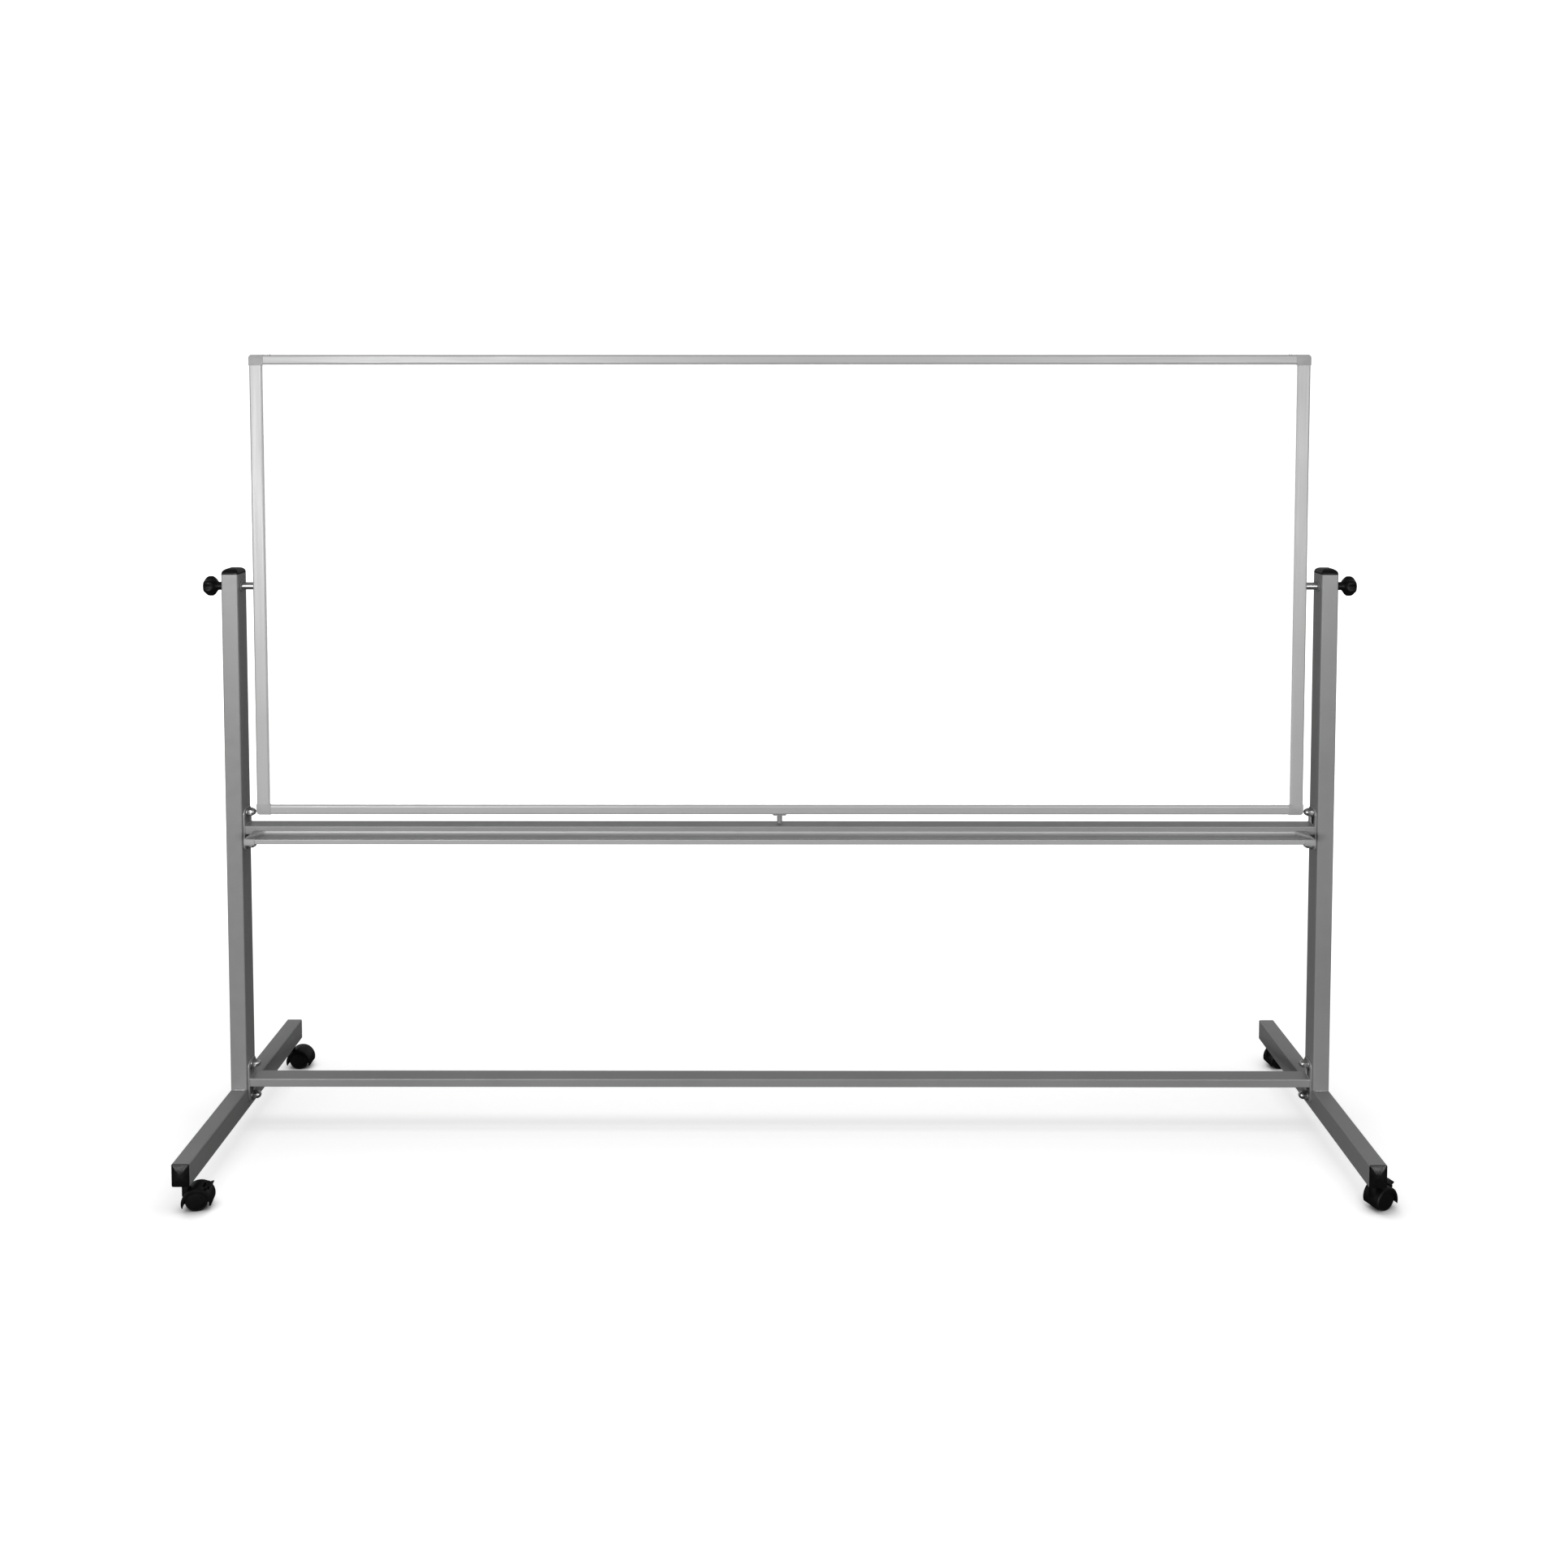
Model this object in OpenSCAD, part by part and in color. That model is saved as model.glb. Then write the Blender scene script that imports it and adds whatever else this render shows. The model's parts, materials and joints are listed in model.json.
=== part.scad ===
// Rolling reversible whiteboard: a framed board that flips over between two posts
// on a stand with four twin-wheel casters.
// Frame: origin on the floor at the middle of the stand, +Z up, the user stands on the -Y side.

/* [Board] */
// Overall width of the framed board
board_w = 2438; // [1200:1:2800]
// Overall height of the framed board
board_h = 1069; // [900:1:1090]
// Thickness of the board's aluminium frame
board_t = 22; // [20:1:26]
// Face width of the upright frame members
stile_w = 30; // [25:1:31]
// Face width of the top and bottom frame members
rail_w = 22; // [21:1:30]
// How far the writing sheet lies behind the frame's face
sheet_recess = 4; // [3:0.5:5]

/* [Stand] */
// Width of the post and foot tubes, seen from the front
post_w = 38; // [36:1:44]
// Depth of the post tube and height of the foot tube
post_d = 50; // [46:1:56]
// Wall thickness of every steel tube
tube_wall = 1.5; // [1.2:0.1:2]
// Free gap between the board's edge and a post
board_gap = 29; // [28:1:34]
// Height of the pivot above the floor
pivot_z = 1296; // [1285:0.5:1320]
// Length of post above the pivot
post_over_pivot = 29; // [26:0.5:40]
// Length of a foot over its end caps
foot_l = 648; // [560:1:760]
// Depth of the crossbar tubes, front to back
bar_d = 40; // [40:1:46]
// Height of the crossbar tubes
bar_h = 20; // [20:1:22]
// Height of the upper crossbar's centre line
upper_bar_z = 727; // [710:1:730]
// Height of the lower crossbar's centre line above the top of a foot
lower_bar_rise = 14; // [12:1:16]

/* [Marker tray] */
// Depth of the tray in front of the crossbar
tray_d = 62; // [50:1:80]
// Height of the tray's front lip
lip_h = 10.8; // [9:0.1:14]
// Length of one moulded tray end cap
tray_cap_l = 24; // [18:1:28]

/* [Casters] */
// Height from the floor to the underside of a foot
caster_h = 62; // [62:1:68]
// Diameter of a caster wheel
wheel_dia = 48; // [46:0.5:48]
// Offset of the wheel axle behind the swivel stem
caster_trail = 24; // [23:1:26]

// Swivel of the front left caster, 0 trails towards +X
turn_front_left = 10; // [-180:5:180]
// Swivel of the front right caster
turn_front_right = 25; // [-180:5:180]
// Swivel of the rear left caster
turn_rear_left = 0; // [-180:5:180]
// Swivel of the rear right caster
turn_rear_right = 10; // [-180:5:180]

/* [Knobs] */
// Diameter over the lobes of a clamping knob
knob_dia = 46; // [44:1:52]
// Number of lobes on a clamping knob
knob_lobes = 6; // [5:1:7]

/* [Hidden] */
$fn = 48;

LEFT = -1;
RIGHT = 1;
FRONT = -1;
REAR = 1;
SIDES = [LEFT, RIGHT];
ENDS = [FRONT, REAR];
eps = 1;

// Colours of the real finishes
grey_paint = [0.56, 0.57, 0.58];
anodised = [0.80, 0.81, 0.82];
cap_grey = [0.62, 0.63, 0.64];
black = [0.06, 0.06, 0.065];
zinc = [0.72, 0.73, 0.75];
enamel = [0.98, 0.98, 0.98];
nylon = [0.45, 0.45, 0.46];
fibreboard = [0.62, 0.50, 0.36];

// Stand
tube_r = 3;
post_x = board_w / 2 + board_gap + post_w / 2;
post_in = post_x - post_w / 2;
post_out = post_x + post_w / 2;
foot_top = caster_h + post_d;
post_top = pivot_z + post_over_pivot;
cap_t = 4;
foot_tube_l = foot_l - 2 * cap_t;
dome_h = 14;
plug_l = 14;
plug_gap = 0.3;

// Crossbars and their bolted end plates
plate_t = 4;
plate_h = 102;
plate_corner_r = 16;
bolt_offset = 38;
bar_l = 2 * (post_in - plate_t);
lower_bar_z = foot_top + lower_bar_rise;
bar_r = 2.5;
stud_r = 5;
stud_head_r = 9;
stud_head_t = 2;
stud_l = 13;
washer_t = 2;
washer_r = 12;
nut_af = 17;
nut_hex_h = 9;
nut_dome_r = 8.2;
nut_bore_l = 14;

// Marker tray, hung under and in front of the upper crossbar
tray_t = 1.8;
bar_front = -bar_d / 2;
bar_under = upper_bar_z - bar_h / 2;
tray_front = bar_front - tray_d;
tray_floor = bar_under;
tray_under = tray_floor - tray_t;
tray_top = tray_under + lip_h;
tray_cove_r = 8;
tray_flange = 28;
tray_l = board_w - 46;
tray_cap_drop = 4;
tray_cap_wall = 1.4;
tray_screw_y = bar_front + 14;
tray_screw_x = [-900, -300, 300, 900];

// Board
stile_lip = 12;
rail_lip = 10;
frame_wall = 1.6;
frame_r = 4;
lip_slope_w = 6;
lip_slope_t = 3;
board_top = pivot_z + board_h / 2;
board_bottom = pivot_z - board_h / 2;
groove_t = board_t - 2 * sheet_recess;
sheet_t = 0.4;
sheet_rim_t = 0.25;
window_gap = 0.2;
window_corner_r = 8;
panel_gap = 1;
panel_w = board_w - 2 * (stile_w - stile_lip + panel_gap);
panel_h = board_h - 2 * (rail_w - rail_lip + panel_gap);
panel_t = groove_t - 0.1;
corner_w = 33;
corner_h = 24;
corner_r = 8;
corner_proud = 0.5;
tongue_l = 20;
tongue_gap = 0.4;

// Pivot
shaft_r = 6;
thread_r = 5;
collar_r = 8.5;
bush_flange_r = 13;
bush_flange_t = 2.5;
bush_r = 8;
bush_l = 15;
running_gap = 0.05;
pivot_plate = [8.5, 18, 90];
pivot_screw_dz = 32;
collar_end = post_in - bush_flange_t - 0.2;
thread_start = post_out + bush_flange_t - 0.4;
knob_face = post_out + bush_flange_t + 0.2;
knob_washer_t = 2;
knob_start = knob_face + knob_washer_t + 0.2;
knob_l = 45;
insert_r = 7;
insert_l = 20;
thread_end = knob_start + 27;

// Spring latch under the middle of the board
latch_plate = [33, 18, 3];
latch_bevel = 3;
latch_screw_x = 9.5;
latch_barrel_r = 6;
latch_bore_r = 4.2;
latch_rod_r = 3.5;
latch_barrel_low = board_bottom - 22;
latch_barrel_top = board_bottom + 9.8;
latch_head_h = 6;
latch_nose_z = upper_bar_z + bar_h / 2 + 0.6;
latch_head_low = latch_barrel_low + 2.2;
latch_head_top = latch_head_low + latch_head_h;
latch_spring_wire = 0.7;
latch_spring_r = 3.2;
latch_spring_turns = 9;

// Casters
caster_inset = 28;
caster_y = foot_l / 2 - caster_inset;
wheel_r = wheel_dia / 2;
wheel_in = 5;
wheel_out = 17.5;
hood_z = wheel_r - 4;
hood_r = wheel_r + 7;
hood_half_w = 20;
hood_bevel_w = 2.5;
hood_bevel_r = 2.2;
hood_low = wheel_r / 2;
well_z = hood_z + 0.5;
well_r = wheel_r + 4.6;
well_half_w = 18.3;
window_z = hood_z - 5.5;
window_r = wheel_r + 2.5;
web_half_t = 4.2;
neck_r = 8.5;
neck_low = wheel_r + 6;
neck_top = caster_h - 4.5;
stem_r = 5.5;
stem_low = 44;
socket_flange_t = 2;
axle_r = 3;
axle_half_l = 15;

// Brake lever on the front casters, turning on a pin above the hood
lever_angle = 55;
lever_reach = hood_r + 1;
lever_half_w = 8;
lever_side_gap = 0.6;
lever_pin_r = 1.5;
lever_boss_r = 3;
lever_tab_l = 13;
cam_l = 4.5;
cam_lift = 25;
lug_t = 2.6;
lug_r = 4.2;
lug_foot = 2.9;

// ---------- profiles ----------

function oval(cx, cy, rx, ry, from, to, n = 6) = [
    for (i = [0:n]) let (a = from + (to - from) * i / n) [cx + rx * cos(a), cy + ry * sin(a)]];

function arc(cx, cy, r, from, to, n = 6) = oval(cx, cy, r, r, from, to, n);

function rounded_rect(w, d, r) = concat(
    arc(w / 2 - r, d / 2 - r, r, 0, 90),
    arc(-w / 2 + r, d / 2 - r, r, 90, 180),
    arc(-w / 2 + r, -d / 2 + r, r, 180, 270),
    arc(w / 2 - r, -d / 2 + r, r, 270, 360));

module tube_section(w, d, r) {
    difference() {
        polygon(rounded_rect(w, d, r));
        polygon(rounded_rect(w - 2 * tube_wall, d - 2 * tube_wall, r - tube_wall / 2));
    }
}

// Section of a board frame member: outer edge at x = 0, panel groove open at x = w
module frame_section(w, lip) {
    half = board_t / 2;
    box_w = w - lip;
    difference() {
        polygon(concat(
            oval(w - lip_slope_w, half - lip_slope_t, lip_slope_w, lip_slope_t, 0, 90),
            arc(frame_r, half - frame_r, frame_r, 90, 180),
            arc(frame_r, -half + frame_r, frame_r, 180, 270),
            oval(w - lip_slope_w, -half + lip_slope_t, lip_slope_w, lip_slope_t, 270, 360)));
        translate([box_w, -groove_t / 2]) square([lip + eps, groove_t]);
        translate([frame_wall, -half + frame_wall + 0.4])
            square([box_w - 2 * frame_wall, board_t - 2 * frame_wall - 0.8]);
    }
}

// ---------- helpers ----------

// Draws its children along X, pointing away from the middle of the stand
module outward(side, x) {
    translate([side * x, 0, 0]) rotate([0, side * 90, 0]) children();
}

module at_each_foot_end() {
    for (side = SIDES, end = ENDS)
        translate([side * post_x, end * caster_y, 0]) children();
}

// Every place where a crossbar is bolted to a post or a foot
module at_each_bolt() {
    for (side = SIDES, bar_z = [upper_bar_z, lower_bar_z], dz = [-bolt_offset, bolt_offset])
        translate([side * post_in, 0, bar_z + dz]) rotate([0, -side * 90, 0]) children();
}

// ---------- stand ----------

module post(side) {
    color(grey_paint) difference() {
        translate([side * post_x, 0, foot_top])
            linear_extrude(height = post_top - foot_top) tube_section(post_w, post_d, tube_r);
        translate([0, 0, pivot_z]) outward(side, post_in - eps)
            cylinder(r = bush_r + running_gap, h = post_w + 2 * eps);
        for (z = [upper_bar_z - bolt_offset, upper_bar_z + bolt_offset, lower_bar_z + bolt_offset])
            translate([0, 0, z]) outward(side, post_in - eps)
                cylinder(r = stud_r + running_gap, h = tube_wall + 2 * eps);
    }
}

module foot(side) {
    color(grey_paint) difference() {
        translate([side * post_x, foot_tube_l / 2, caster_h + post_d / 2]) rotate([90, 0, 0])
            linear_extrude(height = foot_tube_l) tube_section(post_w, post_d, tube_r);
        for (end = ENDS)
            translate([side * post_x, end * caster_y, caster_h - eps])
                cylinder(r = 10 + running_gap, h = tube_wall + 2 * eps);
        translate([0, 0, lower_bar_z - bolt_offset]) outward(side, post_in - eps)
            cylinder(r = stud_r + running_gap, h = tube_wall + 2 * eps);
    }
}

// A domed plug for an open tube end, closing a tube that ends at z = 0
module tube_cap(rise) {
    inner = 2 * (tube_wall + plug_gap);
    color(black) {
        hull() {
            linear_extrude(height = rise * 0.3) polygon(rounded_rect(post_w, post_d, tube_r));
            linear_extrude(height = rise * 0.75) polygon(rounded_rect(post_w * 0.78, post_d * 0.82, 9));
            linear_extrude(height = rise) polygon(rounded_rect(post_w * 0.5, post_d * 0.58, 9));
        }
        translate([0, 0, -plug_l]) linear_extrude(height = plug_l)
            polygon(rounded_rect(post_w - inner, post_d - inner, 1.5));
    }
}

module post_caps() {
    for (side = SIDES) translate([side * post_x, 0, post_top]) tube_cap(dome_h);
}

module foot_end_caps() {
    for (side = SIDES, end = ENDS)
        translate([side * post_x, end * foot_tube_l / 2, caster_h + post_d / 2])
            rotate([-end * 90, 0, 0]) tube_cap(cap_t);
}

module crossbar(z, screw_x) {
    color(grey_paint) difference() {
        translate([-bar_l / 2, 0, z]) rotate([90, 0, 90])
            linear_extrude(height = bar_l) tube_section(bar_d, bar_h, bar_r);
        for (x = screw_x)
            translate([x, tray_screw_y, z - bar_h / 2 - eps]) cylinder(r = 2.05, h = tube_wall + 2 * eps);
    }
}

module crossbar_end_plates() {
    color(grey_paint) for (side = SIDES, z = [upper_bar_z, lower_bar_z])
        translate([side * (post_in - plate_t / 2), 0, z]) rotate([0, 90, 0]) difference() {
            translate([0, 0, -plate_t / 2]) linear_extrude(height = plate_t)
                polygon(rounded_rect(plate_h, bar_d, plate_corner_r));
            for (dz = [-bolt_offset, bolt_offset])
                translate([dz, 0, -plate_t]) cylinder(r = stud_r + 0.5, h = 2 * plate_t);
        }
}

module weld_studs() {
    color(zinc) at_each_bolt() {
        translate([0, 0, -tube_wall - stud_head_t]) cylinder(r = stud_head_r, h = stud_head_t);
        translate([0, 0, -tube_wall - stud_head_t / 2])
            cylinder(r = stud_r, h = tube_wall + stud_head_t / 2 + plate_t + washer_t + stud_l);
    }
}

module ring(r_out, r_in, h) {
    difference() {
        cylinder(r = r_out, h = h);
        translate([0, 0, -eps]) cylinder(r = r_in, h = h + 2 * eps);
    }
}

module stud_washers() {
    color(zinc) at_each_bolt() translate([0, 0, plate_t]) ring(washer_r, stud_r + 0.3, washer_t);
}

module acorn_nuts() {
    color(zinc) at_each_bolt() translate([0, 0, plate_t + washer_t]) difference() {
        union() {
            cylinder(r = nut_af / 2 / cos(30), h = nut_hex_h, $fn = 6);
            translate([0, 0, nut_hex_h]) sphere(r = nut_dome_r);
        }
        translate([0, 0, -eps]) cylinder(r = stud_r + running_gap, h = nut_bore_l + eps);
        translate([0, 0, -nut_dome_r]) cube([4 * nut_dome_r, 4 * nut_dome_r, 2 * nut_dome_r], center = true);
    }
}

// ---------- marker tray ----------

// Tray section with x as the stand's Y and y as its Z
module tray_section() {
    cove_y = bar_front - tray_t - tray_cove_r;
    polygon(concat(
        [[bar_front + tray_flange, tray_under], [bar_front + tray_flange, tray_floor]],
        [[bar_front, tray_floor], [bar_front, tray_top], [bar_front - tray_t, tray_top]],
        arc(cove_y, tray_floor + tray_cove_r, tray_cove_r, 0, -90),
        [[tray_front + tray_t, tray_floor]],
        arc(tray_front + tray_t / 2, tray_top - tray_t / 2, tray_t / 2, 0, 180),
        arc(tray_front + 2, tray_under + 2, 2, 180, 270)));
}

module marker_tray() {
    color(anodised) difference() {
        translate([-tray_l / 2, 0, 0]) rotate([90, 0, 90]) linear_extrude(height = tray_l) tray_section();
        for (x = tray_screw_x)
            translate([x, tray_screw_y, tray_under - eps]) cylinder(r = 2.1, h = tray_t + 2 * eps);
    }
}

// Moulded cup that closes one end of the tray
module tray_end_cap(side) {
    low = tray_under - tray_cap_drop;
    depth = tray_d + tray_cap_wall - 0.2;
    height = tray_top + tray_cap_wall - low;
    mid_y = tray_front - tray_cap_wall + depth / 2;
    color(cap_grey) difference() {
        translate([side * (tray_l + tray_cap_l) / 2, mid_y, low + height / 2]) rotate([0, 90, 0])
            linear_extrude(height = tray_cap_l, center = true) polygon(rounded_rect(height, depth, 5));
        translate([side * (tray_l / 2 + (tray_cap_l - 3) / 2 - eps / 2), mid_y, tray_floor + height / 2])
            cube([tray_cap_l - 3 + eps, depth - 2 * (tray_t + tray_cap_wall), height], center = true);
    }
}

// Pan-head screw pointing up: the head hangs below z = 0
module screw(r, l, head_r, head_t) {
    translate([0, 0, -head_t]) cylinder(r = head_r, h = head_t);
    translate([0, 0, -head_t / 2]) cylinder(r = r, h = l + head_t / 2);
}

module tray_screws() {
    color(zinc) for (x = tray_screw_x) translate([x, tray_screw_y, tray_under]) screw(2, 9, 4, 2.2);
}

// ---------- board ----------

module board_core() {
    core_t = panel_t - 2 * sheet_t;
    color(fibreboard) translate([0, 0, pivot_z]) cube([panel_w, core_t, panel_h], center = true);
}

// Steel sheet bonded to the core; its rim is pressed back where the frame grips it
module writing_sheet(end) {
    back_y = end * (panel_t / 2 - sheet_t);
    window = [board_w - 2 * (stile_w + window_gap), board_h - 2 * (rail_w + window_gap)];
    color(enamel) translate([0, back_y, pivot_z]) rotate([end * -90, 0, 0]) {
        linear_extrude(height = sheet_rim_t) square([panel_w, panel_h], center = true);
        linear_extrude(height = sheet_t) polygon(rounded_rect(window[0], window[1], window_corner_r));
    }
}

module frame_rail(up) {
    l = board_w - 2 * corner_w;
    edge_z = up > 0 ? board_top : board_bottom;
    color(anodised) difference() {
        translate([-l / 2, 0, edge_z]) rotate([90, 0, 90]) linear_extrude(height = l)
            rotate(-up * 90) frame_section(rail_w, rail_lip);
        for (side = SIDES) translate([side * (l / 2 - tongue_l / 2), 0, edge_z])
            cylinder(r = 2.05, h = 2 * (frame_wall + eps), center = true);
        if (up < 0) {
            translate([0, 0, edge_z - eps]) cylinder(r = latch_barrel_r + 0.1, h = frame_wall + 2 * eps);
            for (side = SIDES) translate([side * latch_screw_x, 0, edge_z - eps])
                cylinder(r = 1.55, h = frame_wall + 2 * eps);
        }
    }
}

module frame_stile(side) {
    l = board_h - 2 * corner_h;
    color(anodised) difference() {
        translate([side * board_w / 2, 0, pivot_z - l / 2]) linear_extrude(height = l)
            rotate(side > 0 ? 180 : 0) frame_section(stile_w, stile_lip);
        translate([0, 0, pivot_z]) outward(side, board_w / 2 - frame_wall - eps)
            cylinder(r = shaft_r + 0.2, h = frame_wall + 2 * eps);
        for (dz = [-pivot_screw_dz, pivot_screw_dz])
            translate([0, 0, pivot_z + dz]) outward(side, board_w / 2 - frame_wall - eps)
                cylinder(r = 2.05, h = frame_wall + 2 * eps);
    }
}

// Corner block drawn at the top right corner of the board, with tongues into both members
module corner_cap() {
    half = board_t / 2 + corner_proud;
    tongue_t = board_t - 2 * frame_wall - 0.8 - tongue_gap;
    rail_tongue = rail_w - rail_lip - 2 * frame_wall - tongue_gap;
    stile_tongue = stile_w - stile_lip - 2 * frame_wall - tongue_gap;
    difference() {
        union() {
            translate([0, half, 0]) rotate([90, 0, 0]) linear_extrude(height = 2 * half) polygon(concat(
                [[-corner_w, corner_proud]],
                arc(-corner_w, -corner_h, corner_h - rail_w, 90, 0),
                [[corner_proud, -corner_h]],
                arc(corner_proud - corner_r, corner_proud - corner_r, corner_r, 0, 90)));
            translate([-corner_w - tongue_l, -tongue_t / 2, -frame_wall - tongue_gap / 2 - rail_tongue])
                cube([tongue_l + eps, tongue_t, rail_tongue]);
            translate([-frame_wall - tongue_gap / 2 - stile_tongue, -tongue_t / 2, -corner_h - tongue_l])
                cube([stile_tongue, tongue_t, tongue_l + eps]);
        }
        translate([-corner_w - eps, -groove_t / 2, -corner_h - eps])
            cube([corner_w - stile_w + stile_lip + tongue_gap + eps, groove_t,
                corner_h - rail_w + rail_lip + tongue_gap + eps]);
        translate([-corner_w - tongue_l / 2, 0, -rail_w]) cylinder(r = 2.05, h = rail_w);
    }
}

module corner_caps() {
    color(cap_grey) translate([0, 0, pivot_z]) for (side = SIDES, up = [-1, 1])
        mirror([side < 0 ? 1 : 0, 0, 0]) mirror([0, 0, up < 0 ? 1 : 0])
            translate([board_w / 2, 0, board_h / 2]) corner_cap();
}

module frame_screws() {
    color(zinc) translate([0, 0, pivot_z]) for (side = SIDES, up = [-1, 1]) {
        translate([side * (board_w / 2 - corner_w - tongue_l / 2), 0, up * board_h / 2])
            rotate([up > 0 ? 180 : 0, 0, 0]) screw(2, 9, 3.6, 1.6);
        translate([0, 0, up * pivot_screw_dz]) outward(-side, -board_w / 2) screw(2, 9, 3.6, 1.6);
    }
}

module pivot_plates() {
    plate_x = board_w / 2 - frame_wall - 0.2 - pivot_plate[0] / 2;
    color(zinc) for (side = SIDES) difference() {
        translate([side * plate_x, 0, pivot_z]) cube(pivot_plate, center = true);
        translate([0, 0, pivot_z]) outward(side, plate_x - pivot_plate[0])
            cylinder(r = shaft_r + running_gap, h = 2 * pivot_plate[0]);
        for (dz = [-pivot_screw_dz, pivot_screw_dz])
            translate([0, 0, pivot_z + dz]) outward(side, plate_x - pivot_plate[0])
                cylinder(r = 2.05, h = 2 * pivot_plate[0]);
    }
}

module pivot_shaft(side) {
    inner_end = board_w / 2 - 12;
    color(zinc) translate([0, 0, pivot_z]) {
        outward(side, inner_end) cylinder(r = shaft_r, h = thread_start - inner_end);
        outward(side, board_w / 2) cylinder(r = collar_r, h = collar_end - board_w / 2);
        outward(side, thread_start - eps) cylinder(r = thread_r, h = thread_end - thread_start + eps);
    }
}

// Two flanged bushes per post, one pushed in from each side
module pivot_bushes() {
    color(nylon) translate([0, 0, pivot_z]) for (side = SIDES) {
        outward(side, post_in - bush_flange_t) pivot_bush();
        outward(-side, -post_out - bush_flange_t) pivot_bush();
    }
}

module pivot_bush() {
    difference() {
        union() {
            cylinder(r = bush_flange_r, h = bush_flange_t);
            cylinder(r = bush_r, h = bush_flange_t + bush_l);
        }
        translate([0, 0, -eps]) cylinder(r = shaft_r + running_gap, h = bush_flange_t + bush_l + 2 * eps);
    }
}

// ---------- clamping knobs ----------

module knob_washer(side) {
    color(zinc) translate([0, 0, pivot_z]) outward(side, knob_face)
        ring(washer_r, thread_r + 0.25, knob_washer_t);
}

module knob_insert(side) {
    color(zinc) translate([0, 0, pivot_z]) outward(side, knob_start)
        ring(insert_r, thread_r + running_gap, insert_l);
}

// Neck, grip and crown turned as one body, with straight lobes around the grip
module knob(side) {
    grip_r = knob_dia / 2 * 0.8;
    lobe_r = knob_dia / 2 * 0.3;
    grip_low = 15;
    grip_high = 34;
    length = knob_l - 0.5;
    color(black) translate([0, 0, pivot_z]) outward(side, knob_start + 0.5) difference() {
        union() {
            rotate_extrude() polygon(concat(
                [[0, 0], [9.5, 0], [11.5, grip_low - 5]],
                [[grip_r - 2, grip_low + 1.5], [grip_r - 2, grip_high - 1]],
                arc(9, grip_high - 1, grip_r - 11, 0, 40, 3),
                [[5, length], [0, length]]));
            translate([0, 0, grip_low]) linear_extrude(height = grip_high - grip_low) union() {
                circle(r = grip_r - 1);
                for (i = [0:knob_lobes - 1]) rotate(i * 360 / knob_lobes)
                    translate([knob_dia / 2 - lobe_r, 0]) circle(r = lobe_r);
            }
        }
        translate([0, 0, -eps]) cylinder(r = insert_r + 0.02, h = insert_l + eps);
        cylinder(r = thread_r + 0.6, h = thread_end - knob_start + 3);
    }
}

// ---------- spring latch ----------

module latch_body() {
    bore_low = latch_barrel_low + 2;
    bore_top = latch_barrel_top - 1.6;
    color(grey_paint) difference() {
        union() {
            translate([0, latch_plate[1] / 2, board_bottom]) rotate([90, 0, 0])
                linear_extrude(height = latch_plate[1]) polygon([
                    [-latch_plate[0] / 2, 0], [-latch_plate[0] / 2 + latch_bevel, -latch_plate[2]],
                    [latch_plate[0] / 2 - latch_bevel, -latch_plate[2]], [latch_plate[0] / 2, 0]]);
            translate([0, 0, latch_barrel_low])
                cylinder(r = latch_barrel_r, h = latch_barrel_top - latch_barrel_low);
        }
        translate([0, 0, bore_low]) cylinder(r = latch_bore_r, h = bore_top - bore_low);
        translate([0, 0, latch_barrel_low - eps]) cylinder(r = latch_rod_r + 0.1, h = 2 + 2 * eps);
        for (side = SIDES) translate([side * latch_screw_x, 0, board_bottom - latch_plate[2] - eps])
            cylinder(r = 1.6, h = latch_plate[2] + 2 * eps);
    }
}

module latch_screws() {
    color(zinc) for (side = SIDES)
        translate([side * latch_screw_x, 0, board_bottom - latch_plate[2]]) screw(1.5, 8, 2.4, 1.4);
}

module latch_plunger() {
    color(zinc) {
        translate([0, 0, latch_head_low]) cylinder(r = latch_bore_r - 0.1, h = latch_head_h);
        translate([0, 0, latch_nose_z + latch_rod_r])
            cylinder(r = latch_rod_r, h = latch_head_low - latch_nose_z - latch_rod_r + eps);
        translate([0, 0, latch_nose_z + latch_rod_r]) sphere(r = latch_rod_r - 0.01);
    }
}

// Coil swept as rings of points joined into one closed skin
module latch_spring() {
    per_turn = 14;
    ring_n = 8;
    low = latch_head_top + latch_spring_wire / 2 + 0.2;
    high = latch_barrel_top - 1.6 - latch_spring_wire / 2 - 0.2;
    steps = latch_spring_turns * per_turn;
    points = [for (i = [0:steps], j = [0:ring_n - 1])
        let (turn = 360 * i / per_turn, a = 360 * j / ring_n,
             r = latch_spring_r + latch_spring_wire / 2 * cos(a))
        [r * cos(turn), r * sin(turn), low + (high - low) * i / steps + latch_spring_wire / 2 * sin(a)]];
    sides = [for (i = [0:steps - 1], j = [0:ring_n - 1])
        let (k = (j + 1) % ring_n)
        [i * ring_n + j, i * ring_n + k, (i + 1) * ring_n + k, (i + 1) * ring_n + j]];
    start = [for (j = [ring_n - 1:-1:0]) j];
    finish = [for (j = [0:ring_n - 1]) steps * ring_n + j];
    color(zinc) polyhedron(points = points, faces = concat(sides, [start, finish]));
}

// ---------- casters ----------

module caster_sockets() {
    color(black) at_each_foot_end() translate([0, 0, caster_h - socket_flange_t]) difference() {
        union() {
            cylinder(r = 15, h = socket_flange_t);
            cylinder(r = 10, h = 34);
        }
        translate([0, 0, -eps]) cylinder(r = stem_r + running_gap, h = 36);
    }
}

module caster_stems() {
    color(zinc) at_each_foot_end() {
        translate([0, 0, stem_low + 0.3]) cylinder(r = stem_r, h = caster_h + 30 - stem_low);
        translate([0, 0, neck_top + 0.3]) cylinder(r = 9, h = caster_h - socket_flange_t - neck_top - 0.5);
    }
}

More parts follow.
